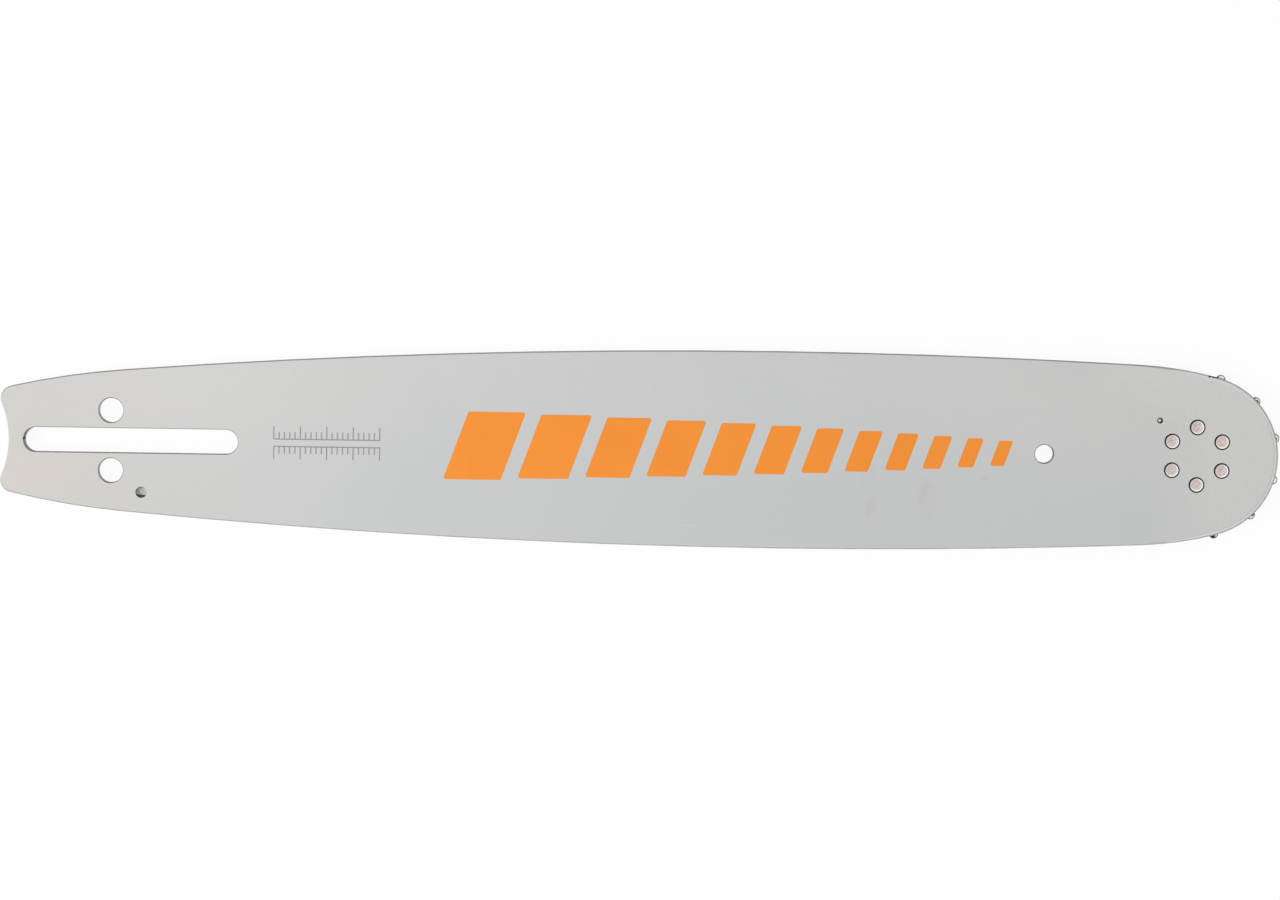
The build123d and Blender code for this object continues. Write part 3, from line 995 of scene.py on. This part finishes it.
@dataclass(frozen=True)
class FacePrint:
    """Print on the upper face: a run of leaning bars towards the nose, and two combs of fine marks."""

    bars_start: float = 0.1085
    bars_end: float = 0.3063
    bar_count: int = 12
    first_bar: float = 0.020
    bar_shrink: float = 0.88
    tallest: float = 0.0236
    shortest: float = 0.0088
    lean: float = math.radians(20)
    corner: float = 0.0007
    corner_steps: int = 5
    marks_start: float = 0.0495
    marks_end: float = 0.0866
    mark_count: int = 21
    mark_stroke: float = 0.00036
    long_mark: float = 0.0046
    short_mark: float = 0.0027
    long_every: int = 5
    combs_apart: float = 0.0022
    thickness: float = 0.00002
    sunk: float = 0.00001

    def rounded(self, corners: list[Vector]) -> list[Vector]:
        """Rounds the corners of an outline.

        Args:
            corners: The outline's corners, counter-clockwise.

        Returns:
            The outline with an arc at each corner.
        """
        outline = []
        for index, point in enumerate(corners):
            before = (corners[index - 1] - point).normalized()
            after = (corners[(index + 1) % len(corners)] - point).normalized()
            half = before.angle(after) / 2
            centre = point + (before + after).normalized() * (self.corner / math.sin(half))
            start = point + before * (self.corner / math.tan(half)) - centre
            sweep = math.pi - 2 * half
            for step in range(self.corner_steps + 1):
                turn = Matrix.Rotation(sweep * step / self.corner_steps, 2)
                outline.append(centre + turn @ start)
        return outline

    def leaning_bars(self) -> list[list[Vector]]:
        """Lays out the leaning bars.

        Returns:
            The outline of each bar, narrower and lower towards the nose.
        """
        widths = [self.first_bar * self.bar_shrink**number for number in range(self.bar_count)]
        slope = math.tan(self.lean)
        overhang = slope * (self.tallest + self.shortest) / 2
        gap = (self.bars_end - self.bars_start - overhang - sum(widths)) / (self.bar_count - 1)
        outlines = []
        left = self.bars_start + slope * self.tallest / 2
        for number, width in enumerate(widths):
            share = number / (self.bar_count - 1)
            half = (self.tallest + (self.shortest - self.tallest) * share) / 2
            foot, head = left - slope * half, left + slope * half
            corners = [
                Vector((foot, -half)),
                Vector((foot + width, -half)),
                Vector((head + width, half)),
                Vector((head, half)),
            ]
            outlines.append(self.rounded(corners))
            left += width + gap
        return outlines

    def fine_marks(self) -> list[list[Vector]]:
        """Lays out the two combs of fine marks back to back.

        Returns:
            The outline of each mark and of each comb's base line.
        """
        outlines = []
        pitch = (self.marks_end - self.marks_start - self.mark_stroke) / (self.mark_count - 1)
        for side in (1, -1):
            base = side * self.combs_apart / 2
            root = base + side * self.mark_stroke
            outlines.append(self.block(self.marks_start, self.marks_end, base, root))
            for number in range(self.mark_count):
                reach = self.short_mark if number % self.long_every else self.long_mark
                left = self.marks_start + pitch * number
                outlines.append(self.block(left, left + self.mark_stroke, root, base + side * reach))
        return outlines

    @staticmethod
    def block(left: float, right: float, first: float, second: float) -> list[Vector]:
        """Gives a rectangle's corners, counter-clockwise.

        Args:
            left: Lower end along the bar.
            right: Upper end along the bar.
            first: One end across the bar.
            second: The other end across the bar.

        Returns:
            The four corners.
        """
        low, high = sorted((first, second))
        return [Vector((left, low)), Vector((right, low)), Vector((right, high)), Vector((left, high))]

    def layer(self, ink: Ink, outlines: list[list[Vector]], face: float) -> bpy.types.Object:
        """Makes one ink's layer, as thin closed slabs on the painted face.

        Args:
            ink: The ink, which names the piece.
            outlines: Outlines of the printed shapes.
            face: Height of the painted face.

        Returns:
            The piece.
        """
        shape = bmesh.new()
        for outline in outlines:
            low = [shape.verts.new((*point, face - self.sunk)) for point in outline]
            high = [shape.verts.new((*point, face + self.thickness)) for point in outline]
            shape.faces.new(high)
            shape.faces.new(reversed(low))
            for index in range(len(outline)):
                after = (index + 1) % len(outline)
                shape.faces.new((low[index], low[after], high[after], high[index]))
        mesh = bpy.data.meshes.new(ink.value)
        shape.to_mesh(mesh)
        shape.free()
        piece = bpy.data.objects.new(ink.value, mesh)
        bpy.context.scene.collection.objects.link(piece)
        return piece

    def build(self, bar: BarFrame, inks: dict[Ink, PrintInk]) -> list[bpy.types.Object]:
        """Prints both inks and lets them ride on the bar.

        Args:
            bar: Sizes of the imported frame.
            inks: The finish of each ink.

        Returns:
            The printed pieces.
        """
        layouts = {Ink.ORANGE: self.leaning_bars(), Ink.GREY: self.fine_marks()}
        pieces = []
        for ink, outlines in layouts.items():
            piece = self.layer(ink, outlines, bar.upper_face)
            piece.data.materials.append(inks[ink].material())
            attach(piece, "bar")
            pieces.append(piece)
        return pieces


@dataclass(frozen=True)
class SolidFinishes:
    """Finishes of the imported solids, each in the slot that the record names for it."""

    paint: SatinPaint = SatinPaint()
    core: CoreSteel = CoreSteel()
    rivets: RivetSteel = RivetSteel()
    sprocket: SprocketSteel = SprocketSteel()
    bearing: BearingSteel = BearingSteel()

    def dress(self, bar: BarFrame) -> None:
        """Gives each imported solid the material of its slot.

        Args:
            bar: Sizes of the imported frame.
        """
        materials = {
            Slot.PAINT: self.paint.material(bar),
            Slot.CORE: self.core.material(),
            Slot.RIVET: self.rivets.material(bar),
            Slot.SPROCKET: self.sprocket.material(bar),
            Slot.BEARING: self.bearing.material(),
        }
        for subpart in frame["record"]["subparts"]:
            slot = Slot(subpart["material_slot"])
            frame["nodes"][subpart["node"]].material_slots[0].material = materials[slot]
            log.info("%s is finished in %s", subpart["node"], slot.value)


@dataclass(frozen=True)
class PhotoView:
    """Where the bar is seen from, fitted to a picture of 1280 by 900 pixels."""

    picture_width: int = 1280
    picture_height: int = 900
    nose_across: float = 1197.1
    nose_down: float = 456.25
    pixel: float = 0.000347
    tilt: float = math.radians(0.844)
    lean: float = math.radians(3.0)
    distance: float = 1.6
    sensor: float = 36.0

    def build(self, bar: BarFrame) -> bpy.types.Object:
        """Makes the camera, which looks down at the middle of the picture and leans a little to the flank.

        Args:
            bar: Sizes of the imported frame.

        Returns:
            The camera, which is the scene's own.
        """
        across = (self.picture_width / 2 - self.nose_across) * self.pixel
        upwards = (self.nose_down - self.picture_height / 2) * self.pixel
        middle = bar.nose.xy + Matrix.Rotation(self.tilt, 2) @ Vector((across, upwards))
        lens = bpy.data.cameras.new("camera")
        lens.sensor_width = self.sensor
        lens.lens = self.sensor * self.distance / (self.picture_width * self.pixel)
        camera = bpy.data.objects.new("camera", lens)
        back = Matrix.Rotation(self.tilt, 2) @ Vector((0.0, math.sin(self.lean)))
        above = bar.upper_face + self.distance * math.cos(self.lean)
        camera.location = (*(middle + back * self.distance), above)
        camera.rotation_euler = (-self.lean, 0.0, self.tilt)
        bpy.context.scene.collection.objects.link(camera)
        bpy.context.scene.camera = camera
        return camera


@dataclass(frozen=True)
class Lamp:
    """A square soft lamp that is aimed at the bar."""

    name: str
    place: tuple[float, float, float]
    side: float
    watts: float

    def build(self, target: Vector) -> bpy.types.Object:
        """Makes the lamp.

        Args:
            target: The point that it is aimed at.

        Returns:
            The lamp.
        """
        light = bpy.data.lights.new(self.name, "AREA")
        light.size = self.side
        light.energy = self.watts
        lamp = bpy.data.objects.new(self.name, light)
        lamp.location = self.place
        lamp.rotation_euler = (target - Vector(self.place)).to_track_quat("-Z", "Y").to_euler()
        bpy.context.scene.collection.objects.link(lamp)
        return lamp


@dataclass(frozen=True)
class Studio:
    """Pale floor, white surroundings and soft lamps."""

    floor_side: float = 12.0
    floor_drop: float = 0.00005
    floor_tone: float = 0.95
    floor_roughness: float = 0.9
    floor_glow: float = 0.93
    sky_level: float = 0.63
    lamps: tuple[Lamp, ...] = (
        Lamp(name="key_lamp", place=(-1.0, -0.25, 0.75), side=0.6, watts=12.2),
        Lamp(name="flank_lamp", place=(0.2, -1.5, 0.35), side=1.0, watts=4.7),
        Lamp(name="nose_lamp", place=(2.0, -0.3, 0.36), side=1.0, watts=1.6),
    )

    def seen_directly(self, tree: bpy.types.NodeTree) -> Socket:
        """Gives 1 where the camera sees something straight, in a mirror or through glass, and 0 elsewhere.

        Args:
            tree: Node tree of the floor or the surroundings.

        Returns:
            The mask.
        """
        rays = tree.nodes.new("ShaderNodeLightPath")
        mask = rays.outputs["Is Camera Ray"]
        for name in ("Is Glossy Ray", "Is Transmission Ray"):
            larger = tree.nodes.new("ShaderNodeMath")
            larger.operation = "MAXIMUM"
            tree.links.new(mask, larger.inputs[0])
            tree.links.new(rays.outputs[name], larger.inputs[1])
            mask = larger.outputs[0]
        return mask

    def floor(self) -> bpy.types.Object:
        """Makes the floor, white to the eye, with the bar's shadow on it.

        Returns:
            Nothing: the floor is marked as backdrop, and that call gives nothing back.
        """
        bench = Bench("floor")
        tone = (self.floor_tone,) * 3
        bench.dress(Base_Color=tone, Roughness=self.floor_roughness, Specular_IOR_Level=0.0)
        glow = bench.add("ShaderNodeEmission")
        mixer = bench.add("ShaderNodeMixShader")
        share = bench.math("MULTIPLY", self.seen_directly(bench.tree), self.floor_glow)
        bench.feed(mixer.inputs[0], share)
        bench.feed(mixer.inputs[1], bench.surface.outputs[0])
        bench.feed(mixer.inputs[2], glow.outputs[0])
        bench.feed(bench.tree.nodes["Material Output"].inputs["Surface"], mixer.outputs[0])

        half = self.floor_side / 2
        corners = [(-half, -half), (half, -half), (half, half), (-half, half)]
        mesh = bpy.data.meshes.new("floor")
        mesh.from_pydata([(x, y, -self.floor_drop) for x, y in corners], [], [(0, 1, 2, 3)])
        mesh.materials.append(bench.material)
        floor = bpy.data.objects.new("floor", mesh)
        bpy.context.scene.collection.objects.link(floor)
        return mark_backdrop(floor)

    def surroundings(self) -> None:
        """Makes the surroundings: white to the eye, and a plain soft light on the bar."""
        world = bpy.data.worlds.new("surroundings")
        world.use_nodes = True
        tree = world.node_tree
        background = tree.nodes["Background"]
        background.inputs["Color"].default_value = (1.0, 1.0, 1.0, 1.0)
        level = tree.nodes.new("ShaderNodeMapRange")
        level.inputs["To Min"].default_value = self.sky_level
        tree.links.new(self.seen_directly(tree), level.inputs["Value"])
        tree.links.new(level.outputs[0], background.inputs["Strength"])
        bpy.context.scene.world = world

    def build(self, bar: BarFrame) -> None:
        """Sets up the floor, the surroundings and the lamps.

        Args:
            bar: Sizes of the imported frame.
        """
        self.floor()
        self.surroundings()
        for lamp in self.lamps:
            lamp.build(Vector((bar.nose.x / 2, 0.0, 0.0)))
        bpy.context.scene.view_settings.view_transform = "Standard"


def main() -> None:
    """Dresses the solids, prints the bar and sets the scene round it."""
    logging.basicConfig(level=logging.INFO, format="%(name)s: %(message)s")
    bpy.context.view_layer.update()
    bar = BarFrame.measured()
    SolidFinishes().dress(bar)
    inks = {
        Ink.ORANGE: PrintInk(Ink.ORANGE, srgb(244, 145, 46), srgb(239, 138, 45)),
        Ink.GREY: PrintInk(Ink.GREY, srgb(138, 138, 136), srgb(160, 160, 158)),
    }
    for piece in FacePrint().build(bar, inks):
        log.info("%s is printed with %d faces", piece.name, len(piece.data.polygons))
    Studio().build(bar)
    view = PhotoView()
    log.info("%s looks down from %.3f m", view.build(bar).name, view.distance)


if __name__ == "__main__":
    main()
